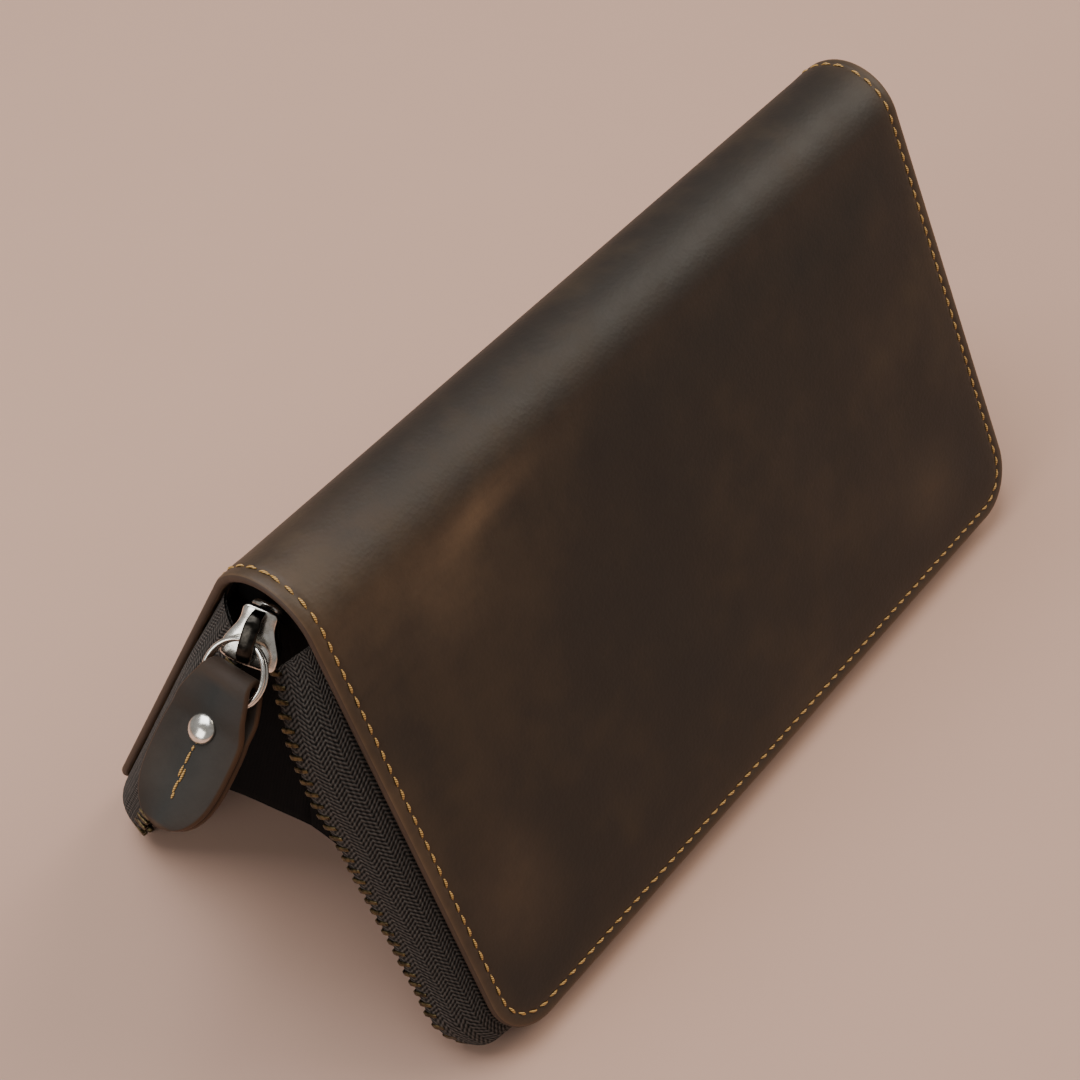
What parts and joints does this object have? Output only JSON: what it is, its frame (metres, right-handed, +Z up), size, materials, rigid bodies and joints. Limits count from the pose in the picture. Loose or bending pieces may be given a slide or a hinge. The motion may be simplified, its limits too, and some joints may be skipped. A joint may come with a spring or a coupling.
{
  "type": "zip-around wallet",
  "caption": "Long zip-around leather wallet standing open like a tent, with stitched cover, metal zip, split-ring leather pull tab and lined pockets.",
  "frame": {"origin": "centre of the footprint of the whole part, at the floor it stands on", "axes": "+X along the spine away from the end with the slider, -Y towards the front cover, +Z up"},
  "size_m": [0.2374, 0.112, 0.108],
  "materials": {
    "brown_leather": "waxed pull-up hide, satin",
    "inner_leather": "smooth thin hide, matte",
    "black_fabric": "woven tape and lining cloth",
    "gold_thread": "waxed polyester thread, golden",
    "brass_teeth": "antiqued, dark in the recesses",
    "coil": "nylon coil",
    "nickel": "polished nickel plate"
  },
  "bodies": {
    "spine": {"spine_cover": "brown_leather", "spine_lining": "black_fabric", "near_spine_thread": "gold_thread", "far_spine_thread": "gold_thread", "near_end_cloth": "black_fabric", "far_end_cloth": "black_fabric", "near_gusset": "black_fabric", "far_gusset": "black_fabric", "zip_end_stop": "brass_teeth", "coin_front_leaf": "black_fabric", "coin_back_leaf": "black_fabric", "coin_zip_tape": "black_fabric", "coin_zip_chain": "coil"},
    "front_half": {"front_cover": "brown_leather", "front_seam_thread": "gold_thread", "front_lining": "black_fabric", "front_zip_tape": "black_fabric", "front_zip_teeth": "brass_teeth", "front_card_leaf_one": "inner_leather", "front_card_leaf_two": "inner_leather", "front_card_leaf_three": "inner_leather"},
    "back_half": {"back_cover": "brown_leather", "back_seam_thread": "gold_thread", "back_lining": "black_fabric", "back_zip_tape": "black_fabric", "back_zip_teeth": "brass_teeth", "back_card_leaf_one": "inner_leather", "back_card_leaf_two": "inner_leather", "back_card_leaf_three": "inner_leather"},
    "coin_zip_slider": {"coin_slider": "nickel", "coin_pull": "nickel"},
    "slider": {"slider_body": "nickel", "slider_crown": "nickel"},
    "ring": {"split_ring": "nickel"},
    "tab": {"pull_tab": "brown_leather", "tab_rivet_cap": "nickel", "tab_rivet_post": "nickel", "tab_thread": "gold_thread"}
  },
  "joints": [
    {"name": "front_fold", "type": "hinge", "parent": "spine", "child": "front_half", "pos_m": [0.01614, 0, 0.09445], "axis": [1, 0, 0], "range_deg": [0, 25], "deforming": ["spine_cover", "spine_lining", "near_spine_thread", "far_spine_thread", "near_gusset", "far_gusset", "near_end_cloth", "far_end_cloth", "front_zip_tape", "front_zip_teeth"]},
    {"name": "back_fold", "type": "hinge", "parent": "spine", "child": "back_half", "pos_m": [0.01614, 0, 0.09445], "axis": [1, 0, 0], "range_deg": [-25, 0], "deforming": ["back_zip_tape", "back_zip_teeth"]},
    {"name": "zip_travel", "type": "slide", "parent": "spine", "child": "slider", "axis": [0, 0, -1], "range_m": [0, 0.04]},
    {"name": "ring_swing", "type": "hinge", "parent": "slider", "child": "ring", "pos_m": [-0.08794, 0, 0.096], "axis": [0, 1, 0], "range_deg": [-8, 88]},
    {"name": "tab_swivel", "type": "hinge", "parent": "ring", "child": "tab", "pos_m": [-0.09275, 0, 0.09162], "axis": [0.673, 0, -0.7396], "range_deg": [-25, 25]},
    {"name": "coin_zip_travel", "type": "slide", "parent": "spine", "child": "coin_zip_slider", "axis": [-1, 0, 0], "range_m": [0, 0.15]}
  ],
  "couplings": [
    {"joint": "back_fold", "follows": "front_fold", "ratio": -1},
    {"joint": "zip_travel", "follows": "front_fold", "m_per_rad": 0.091673}
  ]
}
